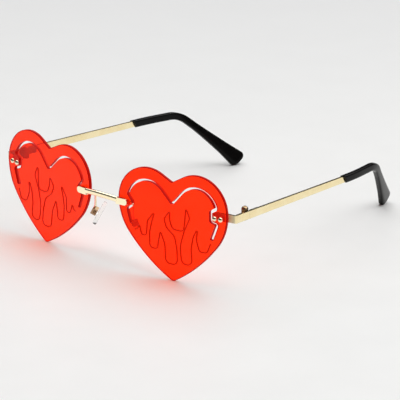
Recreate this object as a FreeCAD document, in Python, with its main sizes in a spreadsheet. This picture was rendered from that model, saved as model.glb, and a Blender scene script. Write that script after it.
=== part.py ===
# Rimless heart-shaped sunglasses: two flat heart lenses, a front bridge, side end pieces,
# three-knuckle hinges, flat temple bars with ear tips, and rocking nose pads.
#
# The pieces are drawn in the frame of the spectacles, with the lenses upright:
# +X towards the wearer's left, +Y back along the temples, +Z up, zero at the heart points.
# REST then pitches everything onto the table, standing on the heart points and the ear tips.
import FreeCAD, Part
import math
import os

import Sketcher

V = FreeCAD.Vector
Placement = FreeCAD.Placement
Rotation = FreeCAD.Rotation
X_AXIS = V(1, 0, 0)
Z_AXIS = V(0, 0, 1)
ORIGIN = V(0, 0, 0)

# Driving sizes in millimetres and degrees
SIZES = {
    # heart lens
    "lens_width": 58.5,
    "lens_height": 50.8,
    "lens_thickness": 1.8,
    "lobe_spacing": 26.5,
    "cheek_radius": 24.0,
    "cheek_turn": 39.0,
    "notch_slope": 28.0,
    "notch_round": 1.2,
    "point_round": 2.4,
    "lens_bevel": 0.35,
    # how the two lenses stand
    "nose_spacing": 20.1,
    "lens_wrap": 6.4,
    "lens_roll": 2.4,
    # screw holes at the temple side and the nose side of a lens
    "mount_drop": 18.0,
    "mount_inset": 6.55,
    "mount_pitch": 3.2,
    "nose_mount_inset": 4.65,
    "nose_mount_pitch": 2.6,
    "lens_hole_radius": 0.8,
    # slot cut through the lens
    "slot_width": 1.1,
    "slot_rim": 5.0,
    "slot_lobe_drop": 0.8,
    "slot_arm_slope": 47.0,
    "slot_leave_angle": 22.0,
    "slot_turn": 1.0,
    "slot_ease": 0.1,
    "slot_return": 0.45,
    # the slot's step round the screws, measured from the first screw
    "temple_jog_inset": 1.7,
    "temple_jog_top": 2.7,
    "temple_jog_low": 1.8,
    "temple_jog_lip": 0.9,
    "temple_end_inset": 1.5,
    "temple_end_drop": 10.3,
    "nose_jog_inset": 3.2,
    "nose_jog_top": 1.2,
    "nose_jog_low": 0.4,
    "nose_jog_lip": 2.1,
    "nose_end_inset": 2.2,
    "nose_end_drop": 9.1,
    # engraved flame line
    "engraving_width": 0.6,
    "engraving_depth": 0.45,
    # lens screws and washers
    "screw_radius": 0.65,
    "thread_clearance": 0.02,
    "dome_radius": 1.25,
    "dome_height": 0.95,
    "pan_radius": 1.1,
    "pan_height": 0.6,
    "washer_radius": 1.5,
    "washer_thickness": 0.3,
    "nose_washer_thickness": 0.5,
    # driver slots in the screw heads
    "driver_width": 0.35,
    "driver_depth": 0.25,
    "driver_turn": 35.0,
    # bridge
    "bridge_rise": 0.8,
    "bridge_arch": 0.75,
    "bridge_bar_rise": 0.35,
    "bridge_thickness": 2.1,
    "bridge_height": 2.6,
    "bridge_round": 1.0,
    "bridge_plate_thickness": 1.6,
    "bridge_plate_height": 3.0,
    "bridge_plate_lap": 1.4,
    "bridge_bar_clearance": 0.1,
    "bridge_bar_lap": 0.4,
    "bridge_bow": 75.0,
    "bridge_hole_depth": 1.1,
    "screw_tip_gap": 0.1,
    # end pieces and temples
    "end_rise": 0.8,
    "temple_reach": 5.29,
    "temple_toe_in": 2.85,
    "strip_thickness": 1.2,
    "strip_height": 3.5,
    "end_plate_lap": 1.7,
    "end_bend": 0.8,
    "hinge_reach": 13.07,
    "butt_gap": 0.1,
    "bar_length": 72.7,
    "bar_end_height": 2.9,
    "tip_slant": 32.0,
    # hinges
    "barrel_radius": 1.55,
    "barrel_gap": 0.15,
    "knuckle_height": 1.6,
    "knuckle_gap": 0.05,
    "leaf_thickness": 0.7,
    "leaf_length": 6.0,
    "leaf_height": 3.0,
    "hinge_screw_radius": 0.7,
    "hinge_clearance": 0.04,
    "hinge_dome_radius": 1.55,
    "hinge_dome_height": 1.15,
    "recess_radius": 0.6,
    "recess_depth": 0.6,
    # ear tips
    "sleeve_lead": 8.5,
    "bow_length": 20.8,
    "bow_angle": 6.7,
    "bow_radius": 120.0,
    "ear_bend": 14.0,
    "tail_length": 44.6,
    "tail_drop": 37.2,
    "tail_inset": 23.5,
    "tip_twist": 16.0,
    "tip_height": 3.4,
    "tip_thickness": 2.7,
    "paddle_width": 6.9,
    "paddle_thickness": 3.0,
    "paddle_cap": 2.4,
    "flare_start": 0.12,
    "core_radius": 0.55,
    "core_clearance": 0.05,
    "core_end": 11.0,
    "core_tip_gap": 0.3,
    # nose pads
    "pad_spread": 21.6,
    "pad_back": 5.9,
    "pad_drop": 13.1,
    "pad_frontal": 31.0,
    "pad_splay": 30.0,
    "pad_length": 12.5,
    "pad_width": 7.2,
    "pad_thickness": 1.8,
    "pad_edge_round": 0.75,
    "pad_gap": 0.4,
    "lug_radius": 0.75,
    "lug_width": 1.5,
    "lug_clearance": 0.1,
    "box_wall": 0.5,
    "box_depth": 1.0,
    "box_room": 0.4,
    "pad_screw_radius": 0.45,
    "pad_screw_clearance": 0.04,
    "pad_head_radius": 0.75,
    "pad_head_height": 0.4,
    "arm_plate_lap": 1.3,
    "arm_plate_height": 2.4,
    "arm_plate_thickness": 0.6,
    "arm_radius": 0.5,
    "arm_root": 1.75,
    "arm_start": 1.4,
    "arm_fall": 3.0,
    "arm_drop": 1.2,
    "arm_bend": 0.9,
}

# One continuous line of flame tongues: x outwards and y up from the heart point, as percent
# of the lens's width and height, and the rounding of each turn as percent of the width
FLAME_LINE = [
    (35.2, 41.3, 0.0),
    (32.0, 32.4, 3.1),
    (25.0, 32.0, 3.1),
    (22.2, 42.3, 10.3),
    (23.8, 53.8, 0.6),
    (19.3, 44.3, 13.7),
    (17.3, 32.8, 17.1),
    (18.3, 18.2, 4.1),
    (8.5, 18.2, 4.1),
    (7.4, 34.4, 17.1),
    (10.9, 47.4, 13.7),
    (16.4, 60.5, 3.8),
    (12.8, 70.0, 0.6),
    (11.8, 56.1, 10.3),
    (10.3, 47.8, 3.1),
    (0.3, 48.2, 4.1),
    (-2.1, 56.1, 6.8),
    (-2.1, 64.4, 0.6),
    (-7.4, 56.1, 4.1),
    (-5.1, 48.6, 5.1),
    (2.2, 42.3, 8.5),
    (4.4, 29.6, 13.7),
    (4.6, 16.2, 4.1),
    (-6.3, 16.2, 4.4),
    (-6.7, 32.8, 13.7),
    (-10.9, 44.7, 0.6),
    (-13.0, 33.6, 10.3),
    (-13.7, 27.7, 2.7),
    (-20.9, 27.7, 3.2),
    (-20.9, 41.9, 13.7),
    (-18.8, 51.4, 8.5),
    (-15.7, 61.7, 0.6),
    (-22.9, 51.8, 5.1),
    (-23.6, 42.3, 8.5),
    (-24.3, 37.9, 2.1),
    (-28.4, 38.3, 2.1),
    (-30.6, 47.8, 0.6),
    (-32.1, 42.7, 1.7),
    (-35.0, 41.9, 0.0),
]

doc = FreeCAD.newDocument("heart_sunglasses")
sheet = doc.addObject("Spreadsheet::Sheet", "Sizes")
for row, (alias, value) in enumerate(SIZES.items(), start=1):
    sheet.set(f"A{row}", alias)
    sheet.set(f"B{row}", str(value))
    sheet.setAlias(f"B{row}", alias)
doc.recompute()

pieces = {}

# Shares of a width or height that rounding takes
GROOVE_END = 0.45
PLATE_ROUNDING = 0.46
PAD_TOP_SHARE = 0.75
PAD_LOW_ROUNDING = 0.9
PAD_TOP_ROUNDING = 0.8

# Distance within which an edge counts as found
EDGE_MATCH = 0.05


def size(alias):
    """One driving size, read from the sheet."""
    return float(sheet.get(alias))


def sine(angle):
    return math.sin(math.radians(angle))


def cosine(angle):
    return math.cos(math.radians(angle))


def heading(angle):
    """Unit vector in the XY plane, at an angle from +X."""
    return V(cosine(angle), sine(angle), 0)


# Outlines


def rounded(corners, closed=False):
    """Lines and tangent arcs through corners given as (point, rounding radius)."""
    count = len(corners)
    trims = []
    for index, (point, radius) in enumerate(corners):
        if radius == 0:
            trims.append((point, None, point))
            continue
        before = (point - corners[index - 1][0]).normalize()
        after = (corners[(index + 1) % count][0] - point).normalize()
        turn = before.getAngle(after)
        reach = radius * math.tan(turn / 2)
        centre = point + (after - before).normalize() * (radius / math.cos(turn / 2))
        middle = centre + (point - centre).normalize() * radius
        trims.append((point - before * reach, middle, point + after * reach))
    path = []
    for index, (start, middle, end) in enumerate(trims):
        if middle is not None:
            path.append(Part.Arc(start, middle, end))
        if closed or index + 1 < count:
            path.append(Part.LineSegment(end, trims[(index + 1) % count][0]))
    return path


def band(corners, half_width, cap=0.0):
    """Closed outline of a strip along a rounded line; cap rounds the four end corners."""
    left = []
    right = []
    last = len(corners) - 1
    for index, (point, radius) in enumerate(corners):
        before = (point - corners[max(index - 1, 0)][0])
        after = (corners[min(index + 1, last)][0] - point)
        before = (before if index else after).normalize()
        after = (after if index < last else before).normalize()
        normal_in = V(-before.y, before.x, 0)
        normal_out = V(-after.y, after.x, 0)
        mitre = (normal_in + normal_out) * (half_width / (1 + normal_in.dot(normal_out)))
        side = half_width if before.cross(after).z > 0 else -half_width
        at_end = index in (0, last)
        left.append((point + mitre, cap if at_end else radius - side))
        right.append((point - mitre, cap if at_end else radius + side))
    return rounded(left + right[::-1], closed=True)


def arc(centre, radius, start, end):
    """Arc about a centre, counter-clockwise between two angles in degrees."""
    circle = Part.Circle(centre, Z_AXIS, radius)
    return Part.ArcOfCircle(circle, math.radians(start), math.radians(end))


LOBE_RADIUS = (size("lens_width") - size("lobe_spacing")) / 2


def heart_sizes():
    """Centres and radii of the arcs that make the right half of the heart."""
    cheek_radius = size("cheek_radius")
    lobe = V(size("lobe_spacing") / 2, size("lens_height") - LOBE_RADIUS, 0)
    cheek = lobe - X_AXIS * (cheek_radius - LOBE_RADIUS)
    low = heading(-size("cheek_turn"))
    meet = cheek + low * cheek_radius
    side_radius = meet.dot(meet) / (2 * meet.dot(low))
    side = meet - low * side_radius
    point_radius = size("point_round")
    point_rise = side.y - math.sqrt((side_radius - point_radius) ** 2 - side.x ** 2)
    return lobe, cheek, side, side_radius, V(0, point_rise, 0)


LOBE, CHEEK, SIDE, SIDE_RADIUS, POINT_CENTRE = heart_sizes()
POINT_LOW = POINT_CENTRE.y - size("point_round")


def heart_outline():
    """Two lobes, cheeks and long sides, with a rounded point and a rounded notch."""
    slope = size("notch_slope")
    cheek_turn = size("cheek_turn")
    shoulder = LOBE + heading(90 + slope) * LOBE_RADIUS
    notch_sharp = shoulder.y - shoulder.x * math.tan(math.radians(slope))
    notch_centre = V(0, notch_sharp + size("notch_round") / cosine(slope), 0)
    notch_side = notch_centre + heading(slope - 90) * size("notch_round")
    to_point = POINT_CENTRE - SIDE
    point_angle = math.degrees(math.atan2(to_point.y, to_point.x))
    outline = [
        arc(POINT_CENTRE, size("point_round"), -180 - point_angle, point_angle),
        arc(notch_centre, size("notch_round"), -90 - slope, slope - 90),
    ]
    half = [
        (SIDE, SIDE_RADIUS, point_angle, -cheek_turn),
        (CHEEK, size("cheek_radius"), -cheek_turn, 0),
        (LOBE, LOBE_RADIUS, 0, 90 + slope),
    ]
    for centre, radius, start, end in half:
        outline.append(arc(centre, radius, start, end))
        outline.append(arc(V(-centre.x, centre.y, 0), radius, 180 - end, 180 - start))
    for hand in (1, -1):
        top = V(hand * shoulder.x, shoulder.y, 0)
        foot = V(hand * notch_side.x, notch_side.y, 0)
        outline.append(Part.LineSegment(top, foot))
    return outline


# Screw height on the lens, and the screws' places across it from the middle outwards
MOUNT_RISE = size("lens_height") - size("mount_drop")
TEMPLE_SCREW = size("lens_width") / 2 - size("mount_inset")
NOSE_SCREW = size("lens_width") / 2 - size("nose_mount_inset")
END_MOUNTS = (TEMPLE_SCREW, TEMPLE_SCREW + size("mount_pitch"))
NOSE_MOUNTS = (-NOSE_SCREW, -NOSE_SCREW - size("nose_mount_pitch"))
SLOT_CENTRE = LOBE - V(0, size("slot_lobe_drop"), 0)
SLOT_RADIUS = LOBE_RADIUS - size("slot_rim")


def slot_half(side, screw):
    """Line of half the slot: round the lobe, in beside the screws, back out and down."""
    arm_normal = 90 + size("slot_arm_slope")
    leave_normal = size("slot_leave_angle")
    spread = (arm_normal - leave_normal) / 2
    middle = heading((arm_normal + leave_normal) / 2)
    turn = size("slot_turn")
    ease = size("slot_ease")
    step = SLOT_CENTRE + heading(leave_normal) * SLOT_RADIUS + heading(leave_normal - 90) * (turn + ease)
    jog_x = screw - size(f"{side}_jog_inset")
    low = MOUNT_RISE - size(f"{side}_jog_low")
    return [
        (SLOT_CENTRE + middle * (SLOT_RADIUS / cosine(spread)), SLOT_RADIUS),
        (step, turn - ease),
        (V(jog_x, MOUNT_RISE + size(f"{side}_jog_top"), 0), turn),
        (V(jog_x, low, 0), turn),
        (V(step.x + size("slot_return"), low - size(f"{side}_jog_lip"), 0), turn - ease),
        (V(screw - size(f"{side}_end_inset"), MOUNT_RISE - size(f"{side}_end_drop"), 0), 0),
    ]


def slot_outline():
    """Slot that follows the lobes, dips to a V and steps round the screws at both sides."""
    slope = size("slot_arm_slope")
    arm_foot = SLOT_CENTRE + heading(90 + slope) * SLOT_RADIUS
    vee = V(0, arm_foot.y - arm_foot.x * math.tan(math.radians(slope)), 0)
    nose = [(V(-point.x, point.y, 0), turn) for point, turn in slot_half("nose", NOSE_SCREW)]
    line = nose[::-1] + [(vee, size("slot_turn"))] + slot_half("temple", TEMPLE_SCREW)
    return band(line, size("slot_width") / 2, cap=GROOVE_END * size("slot_width"))


def flame_outline():
    across = size("lens_width") / 100
    up = size("lens_height") / 100
    line = [(V(x * across, y * up, 0), turn * across) for x, y, turn in FLAME_LINE]
    return band(line, size("engraving_width") / 2, cap=GROOVE_END * size("engraving_width"))


# Where things stand

LENS_FRAME = Placement(
    V((size("lens_width") + size("nose_spacing")) / 2, 0, -POINT_LOW),
    Rotation(Z_AXIS, size("lens_wrap")) * Rotation(X_AXIS, 90) * Rotation(Z_AXIS, size("lens_roll")),
)


def on_lens(x, forward):
    """Point at screw height on the wearer's left lens, at a distance in front of its face."""
    return LENS_FRAME.multVec(V(x, MOUNT_RISE, forward))


END_LEVEL = on_lens(sum(END_MOUNTS) / 2, 0).z + size("end_rise")
BRIDGE_LEVEL = on_lens(sum(NOSE_MOUNTS) / 2, 0).z + size("bridge_rise")

# Temple frame: on the hinge axis, x outwards, y back along the temple
BAR_OFFSET = size("barrel_radius") + size("barrel_gap") + size("strip_thickness") / 2
BAR_FACE = BAR_OFFSET - size("strip_thickness") / 2
TOE = Rotation(Z_AXIS, size("temple_toe_in"))
END_SCREW = on_lens(END_MOUNTS[1], 0)
BAR_FRONT = V(END_SCREW.x + size("temple_reach"), END_SCREW.y + size("hinge_reach"), END_LEVEL)
HINGE = BAR_FRONT - TOE.multVec(X_AXIS * BAR_OFFSET)
TEMPLE_FRAME = Placement(HINGE, TOE)


def ear_path():
    """Corners of the temple's centre line, in the temple frame."""
    bow = V(BAR_OFFSET, size("bar_length") + size("sleeve_lead"), 0)
    bend = bow + heading(90 + size("bow_angle")) * size("bow_length")
    inward = heading(90 + size("tail_inset")) * cosine(size("tail_drop"))
    tail = bend + (inward - Z_AXIS * sine(size("tail_drop"))) * size("tail_length")
    return bow, bend, tail


BOW, BEND, TAIL_END = ear_path()
TAIL = (TAIL_END - BEND).normalize()
CAP_ANGLES = (0, 18, 34, 48, 60, 70, 78, 85)
PADDLE_BLUNTNESS = 0.8


def cap_place(angle):
    """Distance before the end of the paddle and share of its full width there."""
    depth = size("paddle_cap") * (1 - sine(angle) ** PADDLE_BLUNTNESS)
    return depth, cosine(angle) ** PADDLE_BLUNTNESS


def section_turn(along, twist):
    """Axes across the ear tip: x up its height, z along it; the twist leans its top outwards."""
    across = along.cross(Z_AXIS)
    return Rotation(across.cross(along), across, along, "ZXY") * Rotation(Z_AXIS, twist)


def paddle_edge(hand):
    """Points down the paddle's lower or upper edge round its blunt end."""
    points = []
    up = section_turn(TAIL, size("tip_twist")).multVec(X_AXIS)
    for angle in CAP_ANGLES:
        depth, share = cap_place(angle)
        half = hand * share * size("paddle_width") / 2
        points.append(TEMPLE_FRAME.multVec(TAIL_END - TAIL * depth + up * half))
    return points


def rest_placement():
    """Pitch and shift that stand the heart points and ear tips on the table."""
    foot = LENS_FRAME.multVec(V(0, POINT_LOW, size("lens_bevel") - size("lens_thickness")))
    low_edge = paddle_edge(-1)
    pitch = min(math.atan2(point.z - foot.z, point.y - foot.y) for point in low_edge)
    turn = Rotation(X_AXIS, -math.degrees(pitch))
    front = turn.multVec(V(0, bridge_apex(), BRIDGE_LEVEL)).y - size("bridge_thickness") / 2
    back = max(turn.multVec(point).y for point in low_edge + paddle_edge(1))
    return Placement(V(0, -(front + back) / 2, -turn.multVec(foot).z), turn)


def bridge_line():
    """End of the bridge's left plate and the corner on the centre plane, at mid thickness."""
    forward = size("nose_washer_thickness") + size("bridge_plate_thickness") / 2
    outer = on_lens(NOSE_MOUNTS[0] + size("bridge_plate_lap"), forward)
    along = outer - on_lens(NOSE_MOUNTS[1], forward)
    corner_y = outer.y - along.y / along.x * outer.x
    return V(outer.x, outer.y, 0), V(0, corner_y, 0)


def bridge_apex():
    """Y of the bar's middle on the centre plane."""
    outer, corner = bridge_line()
    tilt = math.atan2(outer.y - corner.y, outer.x)
    return corner.y + size("bridge_bow") * (1 / math.cos(tilt) - 1)


REST = rest_placement()


def world(frame, at=ORIGIN, turn=Rotation()):
    """Placement on the table of a place given in one of the frames."""
    return REST * frame * Placement(at, turn)


# Building blocks


def add(kind, name):
    return doc.addObject(kind, name)


def sketch(body, role, geometry, lift=0.0):
    """Drawing on one of the body's own planes, lifted along its normal."""
    plane = [feature for feature in body.Origin.OriginFeatures if feature.Role == role][0]
    drawing = body.newObject("Sketcher::SketchObject", f"{body.Name}_sketch")
    drawing.AttachmentSupport = [(plane, "")]
    drawing.MapMode = "FlatFace"
    drawing.AttachmentOffset = Placement(V(0, 0, lift), Rotation())
    for curve in geometry:
        drawing.addGeometry(curve, False)
    return drawing


def hole_sketch(body, centres, radius):
    """Equal circles whose radius is tied to the sheet."""
    start = size(radius)
    drawing = sketch(body, "XY_Plane", [Part.Circle(centre, Z_AXIS, start) for centre in centres])
    for index in range(len(centres)):
        rule = drawing.addConstraint(Sketcher.Constraint("Radius", index, start))
        drawing.setExpression(f"Constraints[{rule}]", f"Sizes.{radius}")
    return drawing


def pad(body, drawing, length, side="One side", reverse=False):
    feature = body.newObject("PartDesign::Pad", f"{body.Name}_pad")
    feature.Profile = drawing
    feature.setExpression("Length", f"Sizes.{length}")
    feature.SideType = side
    feature.Reversed = reverse
    return feature


def pocket(body, drawing, depth=None):
    """Cut into the body below its drawing: right through, or to a depth from the sheet."""
    feature = body.newObject("PartDesign::Pocket", f"{body.Name}_pocket")
    feature.Profile = drawing
    if depth is None:
        feature.Type = "ThroughAll"
    else:
        feature.setExpression("Length", f"Sizes.{depth}")
    return feature


def edge_names(base, picked):
    """Names of the edges of a feature that a test picks."""
    doc.recompute()
    return [f"Edge{i}" for i, edge in enumerate(base.Shape.Edges, start=1) if picked(edge)]


def round_edges(body, base, picked, radius):
    feature = body.newObject("PartDesign::Fillet", f"{body.Name}_fillet")
    feature.Base = (base, edge_names(base, picked))
    feature.setExpression("Radius", radius)
    return feature


def bevel_edges(body, base, picked, width):
    feature = body.newObject("PartDesign::Chamfer", f"{body.Name}_bevel")
    feature.Base = (base, edge_names(base, picked))
    feature.setExpression("Size", width)
    return feature


def end_edges(at, thickness):
    """Test for the two edges across a strip at its end."""
    def picked(edge):
        middle = edge.CenterOfMass
        near = math.hypot(middle.x - at.x, middle.y - at.y) < EDGE_MATCH
        return near and edge.Length < thickness + EDGE_MATCH
    return picked


def cylinder(name, radius, height, place):
    rod = add("Part::Cylinder", name)
    rod.setExpression("Radius", radius)
    rod.setExpression("Height", height)
    rod.Placement = place
    return rod


def block(name, lengths, place):
    """Box with one corner at its placement."""
    box = add("Part::Box", name)
    for side, formula in zip(("Length", "Width", "Height"), lengths):
        box.setExpression(side, formula)
    box.Placement = place
    return box


def dome(name, radius, height, place):
    """Spherical cap standing on a flat round base."""
    ball = f"((Sizes.{radius}^2 + Sizes.{height}^2) / (2 * Sizes.{height}))"
    cap = add("Part::Sphere", name)
    cap.setExpression("Radius", ball)
    cap.setExpression("Angle1", f"asin(1 - Sizes.{height} / {ball})")
    ball_radius = (size(radius) ** 2 + size(height) ** 2) / (2 * size(height))
    cap.Placement = place * Placement(V(0, 0, size(height) - ball_radius), Rotation())
    return cap


def driver_slot(name, radius, place):
    """Narrow slot across a screw head, from a place on top of the head with z out of it."""
    corner = V(-size(radius), -size("driver_width") / 2, -size("driver_depth"))
    lengths = (f"2 * Sizes.{radius}", "Sizes.driver_width", "2 * Sizes.driver_depth")
    return block(name, lengths, place * Placement(corner, Rotation()))


def fuse(name, shapes):
    joined = add("Part::MultiFuse", name)
    joined.Shapes = shapes
    joined.Refine = True
    return joined


def cut(name, base, tool):
    result = add("Part::Cut", name)
    result.Base = base
    result.Tool = tool
    return result


def group(name, members):
    """Several separate solids kept as one piece."""
    bundle = add("Part::Compound", name)
    bundle.Links = members
    return bundle


def mirrored(name, source):
    """The same thing on the other side of the nose."""
    image = add("Part::Mirroring", name)
    image.Source = source
    image.Normal = X_AXIS
    return image


def finish(label, thing):
    thing.Label = label
    pieces[label] = thing
    return thing


def finish_pair(label, thing):
    """Wearer's left piece and its mirror image on the right."""
    finish(f"{label}_left", thing)
    finish(f"{label}_right", mirrored(f"{label}_mirror", thing))


def rod_along(name, path, radius, frame):
    """Round rod along a path of lines and arcs."""
    wire = Part.Wire([curve.toShape() for curve in path])
    first = wire.OrderedEdges[0]
    start = first.valueAt(first.FirstParameter)
    direction = first.tangentAt(first.FirstParameter)
    section = Part.Wire(Part.Circle(start, direction, radius).toShape())
    rod = add("Part::Feature", name)
    rod.Shape = wire.makePipeShell([section], True, False)
    rod.Placement = world(frame)
    return rod


# Lens


def lens_places(across):
    """Points at screw height on the lens's front face."""
    return [V(x, MOUNT_RISE, 0) for x in across]


def make_lens():
    body = add("PartDesign::Body", "lens_body")
    body.Placement = world(LENS_FRAME)
    sheet = pad(body, sketch(body, "XY_Plane", heart_outline()), "lens_thickness", reverse=True)
    middle = -size("lens_thickness") / 2

    def rim(edge):
        return abs(edge.CenterOfMass.z - middle) > EDGE_MATCH
    bevel_edges(body, sheet, rim, "Sizes.lens_bevel")
    pocket(body, sketch(body, "XY_Plane", slot_outline()))
    pocket(body, hole_sketch(body, lens_places(END_MOUNTS + NOSE_MOUNTS), "lens_hole_radius"))
    engraved = pocket(body, sketch(body, "XY_Plane", flame_outline()), "engraving_depth")
    body.Tip = engraved
    finish_pair("lens", body)


# Screws and washers that clamp the lens


def make_end_screws():
    screws = []
    grip = "Sizes.lens_thickness + Sizes.washer_thickness + Sizes.strip_thickness"
    for index, at in enumerate(lens_places(END_MOUNTS)):
        head = dome(f"end_dome_{index}", "dome_radius", "dome_height", world(LENS_FRAME, at))
        place = world(LENS_FRAME, at, Rotation(X_AXIS, 180))
        shank = cylinder(f"end_shank_{index}", "Sizes.screw_radius", grip, place)
        screws.append(fuse(f"end_screw_{index}", [head, shank]))
    finish_pair("end_screws", group("end_screw_pair", screws))


def make_bridge_screws():
    screws = []
    reach = "Sizes.nose_washer_thickness + Sizes.bridge_hole_depth - Sizes.screw_tip_gap"
    grip = f"Sizes.arm_plate_thickness + Sizes.lens_thickness + {reach}"
    back = V(0, 0, size("lens_thickness") + size("arm_plate_thickness"))
    for index, at in enumerate(lens_places(NOSE_MOUNTS)):
        place = world(LENS_FRAME, at - back)
        shank = cylinder(f"bridge_shank_{index}", "Sizes.screw_radius", grip, place)
        behind = world(LENS_FRAME, at - back, Rotation(X_AXIS, 180))
        head = cylinder(f"bridge_head_{index}", "Sizes.pan_radius", "Sizes.pan_height", behind)
        turn = Rotation(X_AXIS, 180) * Rotation(Z_AXIS, size("driver_turn") * index)
        top = world(LENS_FRAME, at - back - V(0, 0, size("pan_height")), turn)
        slot = driver_slot(f"bridge_slot_{index}", "pan_radius", top)
        whole = fuse(f"bridge_screw_whole_{index}", [shank, head])
        screws.append(cut(f"bridge_screw_{index}", whole, slot))
    pair = group("bridge_screw_pair", screws)
    finish("bridge_screws", group("bridge_screw_set", [pair, mirrored("bridge_screw_mirror", pair)]))


def make_washers():
    rings = []
    behind = V(0, 0, -size("lens_thickness") - size("washer_thickness"))
    stacks = [(at + behind, "Sizes.washer_thickness") for at in lens_places(END_MOUNTS)]
    stacks += [(at, "Sizes.nose_washer_thickness") for at in lens_places(NOSE_MOUNTS)]
    for index, (at, thickness) in enumerate(stacks):
        place = world(LENS_FRAME, at)
        disc = cylinder(f"washer_disc_{index}", "Sizes.washer_radius", thickness, place)
        eye = cylinder(f"washer_eye_{index}", "Sizes.lens_hole_radius", thickness, place)
        rings.append(cut(f"washer_{index}", disc, eye))
    finish_pair("lens_washers", group("washer_set", rings))


# Bridge


# Where the bar starts on its plate, clear of the washer under the inner screw
BAR_START = (size("bridge_plate_lap") + size("nose_mount_pitch") + size("washer_radius")
             + size("bridge_bar_clearance"))


def make_bridge_bar(place, outer, corner):
    """Rounded bar between the plates, bowed forwards and arched."""
    end = outer + (corner - outer).normalize() * BAR_START
    end.z = size("bridge_bar_rise")
    spine = Part.Arc(V(-end.x, end.y, end.z), V(0, bridge_apex(), size("bridge_arch")), end)
    start = spine.value(spine.FirstParameter)
    along = spine.tangent(spine.FirstParameter)[0]
    half_thickness = size("bridge_thickness") / 2
    half_height = size("bridge_height") / 2
    corners = [
        (V(x * half_thickness, y * half_height, 0), size("bridge_round"))
        for x, y in ((-1, -1), (1, -1), (1, 1), (-1, 1))
    ]
    section = Part.Wire([curve.toShape() for curve in rounded(corners, closed=True)])
    section.Placement = Placement(start, Rotation(Z_AXIS.cross(along), Z_AXIS, along, "ZYX"))
    bar = add("Part::Feature", "bridge_bar")
    bar.Shape = Part.Wire(spine.toShape()).makePipeShell([section], True, False)
    bar.Placement = place
    return bar


def make_bridge():
    outer, corner = bridge_line()
    place = world(Placement(V(0, 0, BRIDGE_LEVEL), Rotation()))
    half = size("bridge_plate_thickness") / 2
    body = add("PartDesign::Body", "bridge_plate")
    body.Placement = place
    inner = outer + (corner - outer).normalize() * (BAR_START + size("bridge_bar_lap"))
    outline = band([(outer, 0), (inner, 0)], half)
    plate = pad(body, sketch(body, "XY_Plane", outline), "bridge_plate_height", "Symmetric")
    rounding = f"Sizes.bridge_plate_height * {PLATE_ROUNDING}"
    body.Tip = round_edges(body, plate, end_edges(outer, 2 * half), rounding)
    bar = make_bridge_bar(place, outer, corner)
    solid = fuse("bridge_solid", [bar, body, mirrored("bridge_plate_mirror", body)])
    holes = []
    depth = "Sizes.nose_washer_thickness + Sizes.bridge_hole_depth"
    bore = "Sizes.screw_radius + Sizes.thread_clearance"
    for index, at in enumerate(lens_places(NOSE_MOUNTS)):
        holes.append(cylinder(f"bridge_bore_{index}", bore, depth, world(LENS_FRAME, at)))
    near = group("bridge_bores", holes)
    drill = fuse("bridge_drill", holes + [mirrored("bridge_bores_mirror", near)])
    finish("bridge", cut("bridge_drilled", solid, drill))


# End pieces


def make_end_piece():
    half = size("strip_thickness") / 2
    depth = size("lens_thickness") + size("washer_thickness") + half
    start = on_lens(TEMPLE_SCREW - size("end_plate_lap"), -depth)
    along = on_lens(END_MOUNTS[1], -depth) - start
    butt = TEMPLE_FRAME.multVec(V(BAR_OFFSET, -size("butt_gap") / 2, 0))
    back = TOE.multVec(V(0, 1, 0))
    flat = V(along.x, along.y, 0).normalize()
    gap = V(butt.x - start.x, butt.y - start.y, 0)
    corner = start + flat * (gap.cross(back).z / flat.cross(back).z)
    line = [(V(point.x, point.y, 0), turn) for point, turn in
            ((start, 0), (corner, size("end_bend")), (butt, 0))]
    body = add("PartDesign::Body", "end_piece_body")
    body.Placement = world(Placement(V(0, 0, END_LEVEL), Rotation()))
    strip = pad(body, sketch(body, "XY_Plane", band(line, half)), "strip_height", "Symmetric")
    rounding = f"Sizes.strip_height * {PLATE_ROUNDING}"
    body.Tip = round_edges(body, strip, end_edges(start, 2 * half), rounding)
    holes = []
    bore = "Sizes.screw_radius + Sizes.thread_clearance"
    reach = "2 * Sizes.strip_thickness + Sizes.lens_thickness + Sizes.washer_thickness"
    for index, at in enumerate(lens_places(END_MOUNTS)):
        place = world(LENS_FRAME, at, Rotation(X_AXIS, 180))
        holes.append(cylinder(f"end_bore_{index}", bore, reach, place))
    finish_pair("end_piece", cut("end_piece_drilled", body, fuse("end_drill", holes)))


# Hinges

PITCH_UP = size("knuckle_height") + size("knuckle_gap")
BARREL_TOP = size("knuckle_height") * 1.5 + size("knuckle_gap")
LEAF_START = size("barrel_radius") + size("barrel_gap")


def knuckle(name, level, hand):
    """One barrel section with the web that ties it to its leaf: hand +1 back, -1 front."""
    low = level - size("knuckle_height") / 2
    barrel = cylinder(f"{name}_barrel", "Sizes.barrel_radius", "Sizes.knuckle_height",
                      world(TEMPLE_FRAME, V(0, 0, low)))
    web_length = LEAF_START + size("leaf_thickness") / 2
    corner = V(0, 0 if hand > 0 else -web_length, low)
    web = block(
        f"{name}_web",
        ("Sizes.barrel_radius + Sizes.barrel_gap",
         "Sizes.barrel_radius + Sizes.barrel_gap + Sizes.leaf_thickness / 2",
         "Sizes.knuckle_height"),
        world(TEMPLE_FRAME, corner),
    )
    return [barrel, web]


def leaf(name, hand):
    """Plate soldered to the inner face of the strip."""
    x = BAR_FACE - size("leaf_thickness")
    y = LEAF_START if hand > 0 else -LEAF_START - size("leaf_length")
    lengths = ("Sizes.leaf_thickness", "Sizes.leaf_length", "Sizes.leaf_height")
    return block(name, lengths, world(TEMPLE_FRAME, V(x, y, -size("leaf_height") / 2)))


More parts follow.
